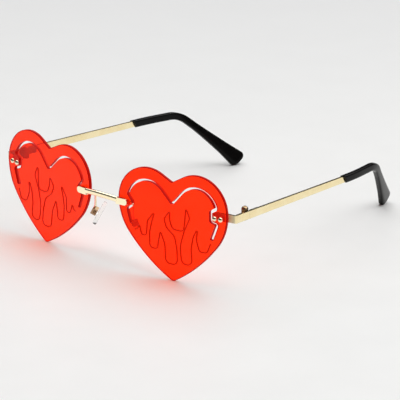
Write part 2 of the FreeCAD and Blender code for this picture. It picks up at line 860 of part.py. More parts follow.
def hinge_half(name, levels, hand):
    solids = [leaf(f"{name}_leaf", hand)]
    for index, level in enumerate(levels):
        solids += knuckle(f"{name}_{index}", level, hand)
    height = "4 * (Sizes.knuckle_height + Sizes.knuckle_gap)"
    bore = cylinder(f"{name}_bore", "Sizes.hinge_screw_radius + Sizes.hinge_clearance", height,
                    world(TEMPLE_FRAME, V(0, 0, -2 * PITCH_UP)))
    finish_pair(name, cut(f"{name}_bored", fuse(f"{name}_solid", solids), bore))


def make_hinges():
    hinge_half("front_hinge", (PITCH_UP, -PITCH_UP), -1)
    hinge_half("temple_hinge", (0,), 1)
    top = world(TEMPLE_FRAME, V(0, 0, BARREL_TOP))
    head = dome("hinge_dome", "hinge_dome_radius", "hinge_dome_height", top)
    shank = cylinder("hinge_shank", "Sizes.hinge_screw_radius",
                     "3 * Sizes.knuckle_height + 2 * Sizes.knuckle_gap",
                     world(TEMPLE_FRAME, V(0, 0, -BARREL_TOP)))
    floor = BARREL_TOP + size("hinge_dome_height") - size("recess_depth")
    socket = cylinder("hinge_recess", "Sizes.recess_radius", "2 * Sizes.recess_depth",
                      world(TEMPLE_FRAME, V(0, 0, floor)))
    finish_pair("hinge_screw", cut("hinge_screw_bored", fuse("hinge_screw_solid", [head, shank]), socket))


# Temples


def temple_path(start, end):
    """Centre line of the temple between a distance behind the hinge and a point on the tail."""
    corners = [(V(BAR_OFFSET, start, 0), 0), (BOW, size("bow_radius")), (BEND, size("ear_bend")), (end, 0)]
    return rounded(corners)


def tail_point(short):
    """Point on the tail's centre line, a distance before its end."""
    return TAIL_END - TAIL * short


def make_temple_bar():
    body = add("PartDesign::Body", "temple_bar_body")
    body.Placement = world(TEMPLE_FRAME)
    start = size("butt_gap") / 2
    high = size("strip_height") / 2
    low = size("bar_end_height") / 2
    lean = low * math.tan(math.radians(size("tip_slant")))
    length = size("bar_length")
    corners = [(V(start, -high, 0), 0), (V(length + lean, -low, 0), 0),
               (V(length - lean, low, 0), 0), (V(start, high, 0), 0)]
    profile = sketch(body, "YZ_Plane", rounded(corners, closed=True), lift=BAR_OFFSET)
    body.Tip = pad(body, profile, "strip_thickness", "Symmetric")
    path = temple_path(length - 4 * lean, tail_point(size("core_end")))
    core = rod_along("temple_core", path, size("core_radius"), TEMPLE_FRAME)
    finish_pair("temple_bar", fuse("temple_bar_solid", [body, core]))


def tip_section(index, at, along, twist, blend, shrink=1.0):
    """Ellipse across the ear tip; blend goes from the sleeve's size to the paddle's."""
    ring = add("Part::Ellipse", f"tip_section_{index}")
    height = f"(Sizes.tip_height + (Sizes.paddle_width - Sizes.tip_height) * {blend:.4f})"
    width = f"(Sizes.tip_thickness + (Sizes.paddle_thickness - Sizes.tip_thickness) * {blend:.4f})"
    ring.setExpression("MajorRadius", f"{height} / 2 * {shrink:.4f}")
    ring.setExpression("MinorRadius", f"{width} / 2 * {shrink:.4f}")
    ring.Placement = world(TEMPLE_FRAME, at, section_turn(along, twist))
    return ring


def make_temple_tip():
    front = size("bar_length") - size("tip_height")
    path = temple_path(front, tail_point(size("paddle_cap")))
    edges = [curve.toShape() for curve in path]
    stations = []
    bend_start = sum(edge.Length for edge in edges[:3])
    bend_end = bend_start + edges[3].Length
    total = sum(edge.Length for edge in edges)
    travelled = 0.0
    steps = (3, 4, 2, 6, 8)
    for edge, count in zip(edges, steps):
        for step in range(count):
            distance = edge.Length * step / count
            parameter = edge.getParameterByLength(distance)
            stations.append((travelled + distance, edge.valueAt(parameter), edge.tangentAt(parameter)))
        travelled += edge.Length
    sections = []
    for distance, at, along in stations:
        share = (distance - bend_end) / (total - bend_end)
        blend = max(0.0, (share - size("flare_start")) / (1 - size("flare_start")))
        bent = min(max((distance - bend_start) / (bend_end - bend_start), 0.0), 1.0)
        sections.append(tip_section(len(sections), at, along, size("tip_twist") * bent, blend))
    for angle in CAP_ANGLES:
        depth, share = cap_place(angle)
        sections.append(tip_section(len(sections), tail_point(depth), TAIL, size("tip_twist"), 1.0, share))
    sleeve = add("Part::Loft", "tip_sleeve")
    sleeve.Sections = sections
    sleeve.Solid = True
    bore = temple_path(front, tail_point(size("core_end") - size("core_tip_gap")))
    hollow = rod_along("tip_hollow", bore, size("core_radius") + size("core_clearance"), TEMPLE_FRAME)
    lean = Rotation(X_AXIS, size("tip_slant"))
    corner = lean.multVec(V(-1, -2, -1) * size("tip_height"))
    sides = ("2 * Sizes.tip_height", "2 * Sizes.tip_height", "2 * Sizes.tip_height")
    trim = block("tip_trim", sides, world(TEMPLE_FRAME, V(BAR_OFFSET, size("bar_length"), 0) + corner, lean))
    finish_pair("temple_tip", cut("temple_tip_solid", sleeve, fuse("tip_cuts", [hollow, trim])))


# Nose pads


def pad_axes():
    """Frame of the left pad at its screw: x across, y up the pad, z towards the nose."""
    up = V(-sine(size("pad_frontal")), 0, cosine(size("pad_frontal")))
    inward = V(-cosine(size("pad_frontal")), 0, -sine(size("pad_frontal")))
    face = inward * cosine(size("pad_splay")) + V(0, 1, 0) * sine(size("pad_splay"))
    across = up.cross(face)
    middle = V(size("pad_spread") / 2, size("pad_back"), BRIDGE_LEVEL - size("pad_drop"))
    screw = middle - face * (PAD_BACK_FACE + size("pad_thickness") / 2)
    return Placement(screw, Rotation(across, up, face, "ZYX"))


PAD_BACK_FACE = size("box_depth") + size("pad_gap")
PAD_FRAME = pad_axes()
BOX_ROOM = size("lug_radius") + size("box_room")
BOX_HALF_WIDTH = size("lug_width") / 2 + size("lug_clearance") + size("box_wall")
BOX_TOP = BOX_ROOM + size("box_wall")
ACROSS = Rotation(V(0, 1, 0), 90)


def make_pad_box():
    """Open box that holds the pad's lug, with a cross hole for its screw."""
    width = "(Sizes.lug_width + 2 * Sizes.lug_clearance)"
    room = "(2 * Sizes.lug_radius + 2 * Sizes.box_room)"
    depth = "(Sizes.box_depth + Sizes.lug_radius + Sizes.box_room)"
    wall = "Sizes.box_wall"
    shell = block("pad_box_shell", (f"{width} + 2 * {wall}", f"{room} + 2 * {wall}", f"{depth} + {wall}"),
                  world(PAD_FRAME, V(-BOX_HALF_WIDTH, -BOX_TOP, -BOX_TOP)))
    inside = BOX_HALF_WIDTH - size("box_wall")
    hollow = block("pad_box_hollow", (width, room, f"{depth} + {wall}"),
                   world(PAD_FRAME, V(-inside, -BOX_ROOM, -BOX_ROOM)))
    bore = "Sizes.pad_screw_radius + Sizes.thread_clearance"
    hole = cylinder("pad_box_hole", bore, f"2 * {width} + 2 * {wall}",
                    world(PAD_FRAME, V(-2 * BOX_HALF_WIDTH, 0, 0), ACROSS))
    finish_pair("pad_box", cut("pad_box_solid", shell, fuse("pad_box_cuts", [hollow, hole])))


def make_pad_screw():
    length = "Sizes.lug_width + 2 * Sizes.lug_clearance + 2 * Sizes.box_wall"
    shank = cylinder("pad_shank", "Sizes.pad_screw_radius", length,
                     world(PAD_FRAME, V(-BOX_HALF_WIDTH, 0, 0), ACROSS))
    head = cylinder("pad_head", "Sizes.pad_head_radius", "Sizes.pad_head_height",
                    world(PAD_FRAME, V(BOX_HALF_WIDTH, 0, 0), ACROSS))
    top = world(PAD_FRAME, V(BOX_HALF_WIDTH + size("pad_head_height"), 0, 0), ACROSS)
    slot = driver_slot("pad_slot", "pad_head_radius", top)
    finish_pair("pad_screw", cut("pad_screw_slotted", fuse("pad_screw_solid", [shank, head]), slot))


def pad_outline():
    """Rounded drop, fuller at its lower end."""
    half_width = size("pad_width") / 2
    half_length = size("pad_length") / 2
    top = half_width * PAD_TOP_SHARE
    corners = [
        (V(-half_width, -half_length, 0), half_width * PAD_LOW_ROUNDING),
        (V(half_width, -half_length, 0), half_width * PAD_LOW_ROUNDING),
        (V(top, half_length, 0), top * PAD_TOP_ROUNDING),
        (V(-top, half_length, 0), top * PAD_TOP_ROUNDING),
    ]
    return rounded(corners, closed=True)


def make_nose_pad():
    body = add("PartDesign::Body", "nose_pad_body")
    body.Placement = world(PAD_FRAME, V(0, 0, PAD_BACK_FACE))
    plate = pad(body, sketch(body, "XY_Plane", pad_outline()), "pad_thickness")

    def rim(edge):
        return min(abs(edge.CenterOfMass.z), abs(edge.CenterOfMass.z - size("pad_thickness"))) < EDGE_MATCH

    body.Tip = round_edges(body, plate, rim, "Sizes.pad_edge_round")
    half_width = size("lug_width") / 2
    neck = block("lug_neck", ("Sizes.lug_width", "2 * Sizes.lug_radius",
                              "Sizes.box_depth + Sizes.pad_gap + Sizes.pad_thickness / 2"),
                 world(PAD_FRAME, V(-half_width, -size("lug_radius"), 0)))
    eye = cylinder("lug_eye", "Sizes.lug_radius", "Sizes.lug_width",
                   world(PAD_FRAME, V(-half_width, 0, 0), ACROSS))
    bore = cylinder("lug_bore", "Sizes.pad_screw_radius + Sizes.pad_screw_clearance", "2 * Sizes.lug_width",
                    world(PAD_FRAME, V(-size("lug_width"), 0, 0), ACROSS))
    finish_pair("nose_pad", cut("nose_pad_solid", fuse("nose_pad_full", [body, neck, eye]), bore))


def make_pad_arm():
    """Plate on the bridge screws behind the lens, and a wire from it back and down to the pad box."""
    back_face = -size("lens_thickness")
    root_x = NOSE_MOUNTS[1] - size("arm_root")
    ends = (root_x - size("arm_radius"), NOSE_MOUNTS[0] + size("arm_plate_lap"))
    half = size("arm_plate_height") / 2
    turn = 2 * half * PLATE_ROUNDING
    corners = [(V(ends[i], MOUNT_RISE + y * half, 0), turn) for i, y in ((0, -1), (1, -1), (1, 1), (0, 1))]
    plate = add("PartDesign::Body", "arm_plate")
    plate.Placement = world(LENS_FRAME, V(0, 0, back_face))
    pad(plate, sketch(plate, "XY_Plane", rounded(corners, closed=True)), "arm_plate_thickness", reverse=True)
    root = on_lens(root_x, back_face - size("arm_plate_thickness") / 2)
    back = on_lens(root_x, back_face - size("arm_plate_thickness") - size("arm_start"))
    flush = size("arm_radius") - BOX_TOP
    foot = PAD_FRAME.multVec(V(0, BOX_TOP, flush))
    knee = PAD_FRAME.multVec(V(0, BOX_TOP + size("arm_drop"), flush))
    elbow = V(knee.x, knee.y, back.z - size("arm_fall"))
    bend = size("arm_bend")
    route = rounded([(root, 0), (back, bend), (elbow, bend), (knee, bend), (foot, 0)])
    wire = rod_along("arm_wire", route, size("arm_radius"), Placement())
    bore = "Sizes.screw_radius + Sizes.thread_clearance"
    holes = []
    for index, at in enumerate(lens_places(NOSE_MOUNTS)):
        place = world(LENS_FRAME, at + V(0, 0, back_face), Rotation(X_AXIS, 180))
        holes.append(cylinder(f"arm_bore_{index}", bore, "2 * Sizes.arm_plate_thickness", place))
    solid = fuse("pad_arm_full", [plate, wire])
    finish_pair("pad_arm", cut("pad_arm_solid", solid, fuse("arm_bores", holes)))


make_lens()
make_end_screws()
make_bridge_screws()
make_washers()
make_bridge()
make_end_piece()
make_hinges()
make_temple_bar()
make_temple_tip()
make_pad_box()
make_pad_screw()
make_nose_pad()
make_pad_arm()
doc.recompute()

for thing in doc.Objects:
    if "Invalid" in thing.State or "Error" in thing.State:
        raise RuntimeError(f"{thing.Name} did not build: {thing.State}")
for label, thing in pieces.items():
    if thing.Shape.isNull() or not thing.Shape.isValid():
        raise RuntimeError(f"{label} has no valid shape")

os.makedirs("parts", exist_ok=True)
for label, thing in pieces.items():
    thing.Shape.exportStep(f"parts/{label}.step")

print(f"{len(pieces)} pieces")
print("left hinge", REST.multVec(HINGE), "axis", REST.Rotation.multVec(Z_AXIS))
print("left pad screw", REST.multVec(PAD_FRAME.Base), "axis", (REST * PAD_FRAME).Rotation.multVec(X_AXIS))
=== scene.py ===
import math

import bpy
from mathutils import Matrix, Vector
from mathutils.bvhtree import BVHTree


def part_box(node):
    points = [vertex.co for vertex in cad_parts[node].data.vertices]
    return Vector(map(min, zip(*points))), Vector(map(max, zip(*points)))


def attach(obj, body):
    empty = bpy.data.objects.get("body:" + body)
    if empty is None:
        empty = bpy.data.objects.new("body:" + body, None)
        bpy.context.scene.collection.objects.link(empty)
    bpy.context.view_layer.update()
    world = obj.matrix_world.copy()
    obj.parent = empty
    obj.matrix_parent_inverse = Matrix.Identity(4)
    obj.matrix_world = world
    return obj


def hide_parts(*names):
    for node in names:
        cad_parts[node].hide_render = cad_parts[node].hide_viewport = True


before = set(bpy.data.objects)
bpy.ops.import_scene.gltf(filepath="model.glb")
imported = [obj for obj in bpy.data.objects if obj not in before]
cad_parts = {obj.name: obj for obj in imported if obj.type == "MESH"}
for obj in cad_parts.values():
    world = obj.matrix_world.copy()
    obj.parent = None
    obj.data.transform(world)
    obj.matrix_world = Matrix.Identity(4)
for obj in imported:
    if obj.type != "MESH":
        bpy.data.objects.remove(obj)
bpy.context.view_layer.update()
scene = bpy.context.scene
scene.view_settings.view_transform = "Standard"

MM = 0.001
HANDS = {"left": 1.0, "right": -1.0}
FORWARD = (0.0, -1.0, 0.0)
EVEN = (1.0, 1.0, 1.0)
BLACK = (0.0, 0.0, 0.0)
# range that most values of a noise fall in
NOISE_LOW = 0.3
NOISE_HIGH = 0.7
# numbers of a mix node's colour sockets
MIX_FIRST = 6
MIX_SECOND = 7
MIX_RESULT = 2
EDGE_SAMPLES = 6


def clamp(value):
    return min(max(value, 0.0), 1.0)


# Node helpers


def feed(tree, socket, value):
    """Link a socket to another one, or set its own number, direction or colour."""
    if isinstance(value, bpy.types.NodeSocket):
        tree.links.new(value, socket)
    elif socket.type == "RGBA":
        socket.default_value = (*value, 1.0)
    else:
        socket.default_value = value


def feed_all(tree, node, values):
    """Feed several sockets of a node, by name or number."""
    for key, value in values.items():
        feed(tree, node.inputs[key], value)


def new_node(tree, kind, values, **settings):
    node = tree.nodes.new(kind)
    for name, value in settings.items():
        setattr(node, name, value)
    feed_all(tree, node, values)
    return node


def new_material(name):
    """Material with its node tree and its surface shader."""
    material = bpy.data.materials.new(name)
    material.use_nodes = True
    tree = material.node_tree
    return material, tree, tree.nodes["Principled BSDF"]


def place_in_part(tree, stretch=EVEN):
    """Coordinates in metres of the part's own frame, stretched per axis."""
    coordinates = new_node(tree, "ShaderNodeTexCoord", {})
    mapping = new_node(tree, "ShaderNodeMapping", {"Vector": coordinates.outputs["Object"], "Scale": stretch})
    return mapping.outputs["Vector"]


def noise(tree, vector, scale, detail=3.0):
    values = {"Vector": vector, "Scale": scale, "Detail": detail}
    return new_node(tree, "ShaderNodeTexNoise", values).outputs["Fac"]


def ramp(tree, factor, stops):
    """Colour ramp through (position, colour) stops."""
    node = new_node(tree, "ShaderNodeValToRGB", {"Fac": factor})
    elements = node.color_ramp.elements
    while len(elements) < len(stops):
        elements.new(0.5)
    for element, (position, colour) in zip(elements, stops):
        element.position = position
        element.color = (*colour, 1.0)
    return node.outputs["Color"]


def mottled(tree, vector, scale, tones):
    """Cloudy colour between a dark and a light tone."""
    dark, light = tones
    return ramp(tree, noise(tree, vector, scale), [(NOISE_LOW, dark), (NOISE_HIGH, light)])


def map_range(tree, value, start, end, low=0.0, high=1.0):
    """Number that runs from low to high as the value goes from start to end, and stays there beyond them."""
    values = {"Value": value, "From Min": start, "From Max": end, "To Min": low, "To Max": high}
    return new_node(tree, "ShaderNodeMapRange", values).outputs["Result"]


def spread(tree, factor, low, high):
    """Number that runs from low to high as the factor crosses its middle range."""
    return map_range(tree, factor, NOISE_LOW, NOISE_HIGH, low, high)


def maths(tree, operation, *values):
    return new_node(tree, "ShaderNodeMath", dict(enumerate(values)), operation=operation).outputs["Value"]


def along(tree, vector, direction):
    """How far a vector reaches along a fixed direction."""
    values = {0: vector, 1: direction}
    return new_node(tree, "ShaderNodeVectorMath", values, operation="DOT_PRODUCT").outputs["Value"]


def surface_turn(tree, direction):
    """How squarely the surface looks in a direction of the part's own frame."""
    coordinates = new_node(tree, "ShaderNodeTexCoord", {})
    return along(tree, coordinates.outputs["Normal"], direction)


def axis_of(tree, vector, axis):
    return new_node(tree, "ShaderNodeSeparateXYZ", {"Vector": vector}).outputs[axis]


def blend_colours(tree, factor, first, second):
    values = {"Factor": factor, MIX_FIRST: first, MIX_SECOND: second}
    return new_node(tree, "ShaderNodeMix", values, data_type="RGBA").outputs[MIX_RESULT]


def bump(tree, shader, height, distance, strength, edge_round=0.0):
    """Fine relief on the surface, over edges that catch the light as if slightly rounded."""
    values = {"Height": height, "Distance": distance, "Strength": strength}
    if edge_round:
        soft = new_node(tree, "ShaderNodeBevel", {"Radius": edge_round}, samples=EDGE_SAMPLES)
        values["Normal"] = soft.outputs["Normal"]
    relief = new_node(tree, "ShaderNodeBump", values)
    feed(tree, shader.inputs["Normal"], relief.outputs["Normal"])


# Lenses: clear red sheets with a slot cut through and engraved lines


# how squarely the sheet's front faces look forward, and how little a wall that is cut through it does
SHEET_TURN = 0.95
WALL_TURN = 0.3
# the widest gap across the slot, and how far off a wall the look across it starts
SLOT_REACH = 1.5 * MM
WALL_LIFT = 0.01 * MM
# the slot's inner wall stands in by the opening at the temple side; this begins at the top of the outer
# lobe, so far out from the lens's middle, and grows over the ease
LOBE_OUT = 13.0 * MM
SLOT_EASE = 6.0 * MM
SLOT_OPENING = 0.62 * MM
# how deep below a face a cut starts to show, the turns between which a slanted wall becomes a floor,
# and how strongly the floor of an engraved line takes the matt finish and the painted shade of a cut
CUT_SKIN = 0.03 * MM
FLOOR_TURNS = (0.845, 0.905)
ENGRAVED_SHADE = 0.6
LENS_TONES = ((1.0, 0.044, 0.0068), (1.0, 0.052, 0.0078))
# painted glow: the lens sheet gives off a weak red light of its own, though it is no lamp
LENS_PAINTED_GLOW = (1.0, 0.025, 0.002)
LENS_PAINTED_GLOW_STRENGTH = 0.17
LENS_SHEEN = (1.0, 0.12, 0.05)
LENS_SHEEN_LEVEL = 0.1
LENS_IOR = 1.49
LENS_POLISH = (0.02, 0.06)
LENS_FILTER = (0.997, 0.44, 0.0)
LENS_DENSITY = 350.0
LENS_CLOUD_SCALE = 60.0
LENS_POLISH_SCALE = 900.0
LENS_WAVE_SCALE = 140.0
LENS_WAVE_HEIGHT = 0.02 * MM
LENS_WAVE_STRENGTH = 0.15
# painted shade: the cut walls and engraved lines are coloured deeper red; their matt, less clear finish is
# real
CUT_PAINTED_SHADE = (0.36, 0.004, 0.002)
# painted glow of the cut walls and engraved lines
CUT_PAINTED_GLOW = (0.8, 0.0, 0.0)
CUT_ROUGHNESS = 0.45
CUT_CLEARNESS = 0.15


def lens_sheet(mesh):
    """Direction that a lens sheet faces, and the levels of its back and front faces along it."""
    forward = Vector()
    for face in mesh.polygons:
        if face.normal.y < -SHEET_TURN:
            forward += face.normal * face.area
    forward.normalize()
    levels = [forward.dot(vertex.co) for vertex in mesh.vertices]
    return forward, min(levels), max(levels)


def cut_mask(tree, place, sheet):
    """1 on the walls and bevels of the lens sheet, less on engraved floors, 0 on its two faces."""
    forward, back, front = sheet
    level = along(tree, place, forward)
    behind_front = map_range(tree, level, front - CUT_SKIN, front - 2 * CUT_SKIN)
    before_back = map_range(tree, level, back + CUT_SKIN, back + 2 * CUT_SKIN)
    between = maths(tree, "MULTIPLY", behind_front, before_back)
    slant = map_range(tree, surface_turn(tree, forward), *FLOOR_TURNS, 1.0, ENGRAVED_SHADE)
    return maths(tree, "MULTIPLY", between, slant)


def make_red_lens(name, sheet):
    """Clear red sheet that filters the light and gives off a weak painted glow; what is cut into it is matt,
    and deeper red by painted shade.
    """
    material, tree, shader = new_material(name)
    place = place_in_part(tree)
    cuts = cut_mask(tree, place, sheet)
    tint = mottled(tree, place, LENS_CLOUD_SCALE, LENS_TONES)
    gloss = spread(tree, noise(tree, place, LENS_POLISH_SCALE), *LENS_POLISH)
    feed_all(tree, shader, {
        # painted shade: the cuts take a deeper red colour
        "Base Color": blend_colours(tree, cuts, tint, CUT_PAINTED_SHADE),
        "Roughness": maths(tree, "MULTIPLY_ADD", cuts, CUT_ROUGHNESS, gloss),
        "Transmission Weight": spread(tree, cuts, 1.0, CUT_CLEARNESS),
        "IOR": LENS_IOR,
        "Specular IOR Level": LENS_SHEEN_LEVEL,
        "Specular Tint": LENS_SHEEN,
        # painted glow: weak light of the lens's own, on its faces and its cuts
        "Emission Color": blend_colours(tree, cuts, LENS_PAINTED_GLOW, CUT_PAINTED_GLOW),
        "Emission Strength": LENS_PAINTED_GLOW_STRENGTH,
    })
    bump(tree, shader, noise(tree, place, LENS_WAVE_SCALE), LENS_WAVE_HEIGHT, LENS_WAVE_STRENGTH)
    absorb = new_node(tree, "ShaderNodeVolumeAbsorption", {"Color": LENS_FILTER, "Density": LENS_DENSITY})
    rays = new_node(tree, "ShaderNodeLightPath", {})
    clear = new_node(tree, "ShaderNodeBsdfTransparent", {})
    surface = new_node(tree, "ShaderNodeMixShader", {
        "Fac": rays.outputs["Is Shadow Ray"],
        1: shader.outputs["BSDF"],
        2: clear.outputs["BSDF"],
    })
    feed_all(tree, tree.nodes["Material Output"], {
        "Surface": surface.outputs["Shader"],
        "Volume": absorb.outputs["Volume"],
    })
    return material


def spot(point):
    """Place of a point to a hundredth of a millimetre, the same for all corners that meet there."""
    return tuple(round(value / MM, 2) for value in point)


def inner_slot_wall(mesh, forward, thickness, hand):
    """Spots on the walls through a lens sheet that look outwards and have another wall close across."""
    points = [vertex.co for vertex in mesh.vertices]
    solid = BVHTree.FromPolygons(points, [face.vertices for face in mesh.polygons])
    spots = set()
    for face in mesh.polygons:
        corners = [points[index] for index in face.vertices]
        levels = [forward.dot(corner) for corner in corners]
        is_deep = max(levels) - min(levels) > thickness / 2
        is_wall = abs(face.normal.dot(forward)) <= WALL_TURN
        if is_deep and is_wall and face.normal.x * hand >= 0.0:
            start = face.center + face.normal * WALL_LIFT
            if solid.ray_cast(start, face.normal, SLOT_REACH)[0] is not None:
                spots.update(spot(corner) for corner in corners)
    return spots


def make_lens(side):
    """Lens sheet whose slot opens wider towards the temple, as its inner wall stands further in."""
    hand = HANDS[side]
    name = f"heart_lens_{side}"
    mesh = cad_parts[f"lens_{side}"].data.copy()
    sheet = lens_sheet(mesh)
    forward, back, front = sheet
    low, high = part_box(f"lens_{side}")
    lobe_top = abs(low[0] + high[0]) / 2 + LOBE_OUT
    inwards = Vector((-hand, 0.0, 0.0))
    inwards = (inwards - forward * forward.dot(inwards)).normalized()
    wall = inner_slot_wall(mesh, forward, front - back, hand)
    for vertex in mesh.vertices:
        if spot(vertex.co) in wall:
            share = clamp((abs(vertex.co.x) - lobe_top) / SLOT_EASE)
            vertex.co += inwards * SLOT_OPENING * share
    mesh.materials.clear()
    mesh.materials.append(make_red_lens(f"red_{name}", sheet))
    piece = bpy.data.objects.new(name, mesh)
    scene.collection.objects.link(piece)
    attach(piece, "front")
    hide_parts(f"lens_{side}")


for side in HANDS:
    make_lens(side)


# Gold and plastic


ALONG_TEMPLE = (1.0, 0.05, 1.0)
ALONG_BRIDGE = (0.05, 1.0, 1.0)
GOLD = ((0.95, 0.79, 0.45), (1.0, 0.87, 0.55))
# painted light: a paler copy of the gold, lighter as if under brighter light
PAINTED_LIGHT_GOLD = ((0.99, 0.90, 0.62), (1.0, 0.95, 0.70))
# painted shade: a brown copy of the gold, darker as if in shade
PAINTED_SHADE_GOLD = ((0.34, 0.23, 0.13), (0.48, 0.34, 0.20))
# painted shade: a near-black copy of the gold, dark as if in shade
DEEP_PAINTED_SHADE_GOLD = ((0.10, 0.06, 0.03), (0.17, 0.11, 0.06))
SATIN = (0.10, 0.22)
MIRROR = (0.04, 0.10)
GOLD_CLOUD_SCALE = 220.0
GOLD_LINE_SCALE = 900.0
GOLD_LINE_DETAIL = 4.0
GOLD_LINE_HEIGHT = 0.02 * MM
GOLD_LINE_STRENGTH = 0.12
GOLD_EDGE = 0.15 * MM
# a matt front face has painted shade, dark brown, behind the lens, up to this far inside the lens's outer
# edge
BEHIND_LENS_PAINTED_SHADE = (0.22, 0.17, 0.08)
DULL_TURNS = (0.75, 0.9)
PAINTED_SHADE_MARGIN = 1.4 * MM
# painted glow: the bridge's front face gives off a weak warm light of its own, though it is no lamp
BRIDGE_PAINTED_GLOW = (1.0, 0.76, 0.42)
BRIDGE_PAINTED_GLOW_TURNS = (0.85, 0.97)
BRIDGE_PAINTED_GLOW_STRENGTH = 0.17
PLASTIC_PEEL_HEIGHT = 0.05 * MM
BLACK_TONES = ((0.002, 0.002, 0.002), (0.006, 0.005, 0.005))
CLEAR_TONES = ((0.93, 0.92, 0.90), (0.99, 0.985, 0.975))


def make_gold(name, tones, stretch=EVEN, polish=SATIN, matt_and_shade_reach=0.0, front_painted_glow=0.0):
    """Gold plate with fine lines along the piece.

    With a reach its front face is matt, and has a painted shade of dark brown as far out as that. With a
    front glow its front face has a painted glow, a weak light of its own though it is no lamp.
    """
    material, tree, shader = new_material(name)
    place = place_in_part(tree)
    lines = noise(tree, place_in_part(tree, stretch), GOLD_LINE_SCALE, GOLD_LINE_DETAIL)
    tint = mottled(tree, place, GOLD_CLOUD_SCALE, tones)
    metal = 1.0
    if matt_and_shade_reach:
        front = map_range(tree, surface_turn(tree, FORWARD), *DULL_TURNS)
        outwards = maths(tree, "ABSOLUTE", axis_of(tree, place, "X"))
        behind_lens = map_range(tree, outwards, matt_and_shade_reach, matt_and_shade_reach - MM)
        # painted shade: dark brown on the front face where it lies behind the lens
        tint = blend_colours(tree, maths(tree, "MULTIPLY", front, behind_lens), tint, BEHIND_LENS_PAINTED_SHADE)
        metal = spread(tree, front, 1.0, 0.0)
    if front_painted_glow:
        # painted glow on the front face
        front = map_range(tree, surface_turn(tree, FORWARD), *BRIDGE_PAINTED_GLOW_TURNS)
        glow = blend_colours(tree, front, BLACK, BRIDGE_PAINTED_GLOW)
        feed_all(tree, shader, {"Emission Color": glow, "Emission Strength": front_painted_glow})
    feed_all(tree, shader, {"Base Color": tint, "Metallic": metal, "Roughness": spread(tree, lines, *polish)})
    bump(tree, shader, lines, GOLD_LINE_HEIGHT, GOLD_LINE_STRENGTH, edge_round=GOLD_EDGE)
    return material


def make_plastic(name, tones, cloud_scale, polish, polish_scale, peel_scale, peel, fixed):
    """Plastic with a faint cloud in its depth and a soft orange-peel surface."""
    material, tree, shader = new_material(name)
    place = place_in_part(tree)
    feed_all(tree, shader, {
        "Base Color": mottled(tree, place, cloud_scale, tones),
        "Roughness": spread(tree, noise(tree, place, polish_scale), *polish),
    })
    feed_all(tree, shader, fixed)
    bump(tree, shader, noise(tree, place, peel_scale), PLASTIC_PEEL_HEIGHT, peel)
    return material


def both(*names):
    """Names of the nodes on both sides."""
    return [f"{name}_{side}" for name in names for side in HANDS]


def dress(names, material):
    for name in names:
        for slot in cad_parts[name].material_slots:
            slot.material = material


black_tip = make_plastic("black_tip", BLACK_TONES, cloud_scale=120.0, polish=(0.10, 0.18), polish_scale=700.0,
                         peel_scale=500.0, peel=0.15, fixed={"IOR": 1.5, "Specular IOR Level": 0.1})
clear_plastic = make_plastic("clear_plastic", CLEAR_TONES, cloud_scale=260.0, polish=(0.04, 0.14),
                             polish_scale=800.0, peel_scale=300.0, peel=0.12,
                             fixed={"IOR": 1.2, "Transmission Weight": 1.0})
# how far out the matt front face has its painted shade behind the lens
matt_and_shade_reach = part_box("lens_left")[1][0] - PAINTED_SHADE_MARGIN
gold_bar = make_gold("gold_bar", GOLD, ALONG_TEMPLE)
gold_end = make_gold("gold_end", GOLD, ALONG_TEMPLE, matt_and_shade_reach=matt_and_shade_reach)
# painted light: the bridge and the small fittings take the paler copy of the gold; the bridge also has a
# painted glow
gold_bridge = make_gold("gold_bridge", PAINTED_LIGHT_GOLD, ALONG_BRIDGE, MIRROR, front_painted_glow=BRIDGE_PAINTED_GLOW_STRENGTH)
gold_fitting = make_gold("gold_fitting", PAINTED_LIGHT_GOLD)
# painted shade: pad boxes, pad screws and hinge screws take the brown copy of the gold
painted_shade_fitting = make_gold("painted_shade_fitting", PAINTED_SHADE_GOLD)
# painted shade: the hinges take the near-black copy of the gold
painted_shade_hinge = make_gold("painted_shade_hinge", DEEP_PAINTED_SHADE_GOLD)
dress(both("nose_pad", "lens_washers"), clear_plastic)
dress(both("temple_bar"), gold_bar)
dress(both("end_piece"), gold_end)
dress(["bridge"], gold_bridge)
dress(["bridge_screws"] + both("end_screws", "pad_arm"), gold_fitting)
dress(both("pad_box", "pad_screw", "hinge_screw"), painted_shade_fitting)
dress(both("front_hinge", "temple_hinge"), painted_shade_hinge)


# Ear tips: flat-sided sleeves that bend over the ear and flare to a paddle with a slanted end


# corners of the left tip's middle line, in millimetres, and the temple's own upward direction
TIP_FRONT = Vector((65.326, 16.79, 30.908))
TIP_BOW = Vector((64.904, 25.274, 30.583))
TIP_BEND = Vector((61.453, 45.77, 29.798))
TIP_END = Vector((45.526, 76.861, 1.351))
TEMPLE_UP = Vector((0.0, 0.0382, 0.9993))
BOW_RADIUS = 120.0
EAR_RADIUS = 16.0
TIP_TWIST = math.radians(16.0)
TIP_SLANT = math.tan(math.radians(32.0))
# half heights and half widths
SLEEVE_HALF = (1.85, 1.45)
PADDLE_HALF = (4.4, 1.6)
# how far the paddle's middle drops below the line, how much sooner its lower edge ends, and how
# far both corners of its end are rounded back
PADDLE_DROP = 0.95
END_SLANT = 2.4
END_ROUND = 1.6
SLANT_LENGTH = 14.0
CAP_LENGTH = 2.4
CAP_BLUNTNESS = 0.6
FLARE_START = 0.12
FLARE_EASE = 1.3
# steps along the straight runs, the two bends, the tail and the cap, and the cap's angle per step
RUN_STEPS = 4
BOW_STEPS = 6
EAR_STEPS = 14
TAIL_STEPS = 26
CAP_STEPS = 13
CAP_TURN = math.radians(6.8)
RING_POINTS = 40
RING_SQUARENESS = 2.0 / 4.0


def run(first, last, count):
    """Points along a straight run, without its last point."""
    return [first.lerp(last, step / count) for step in range(count)]


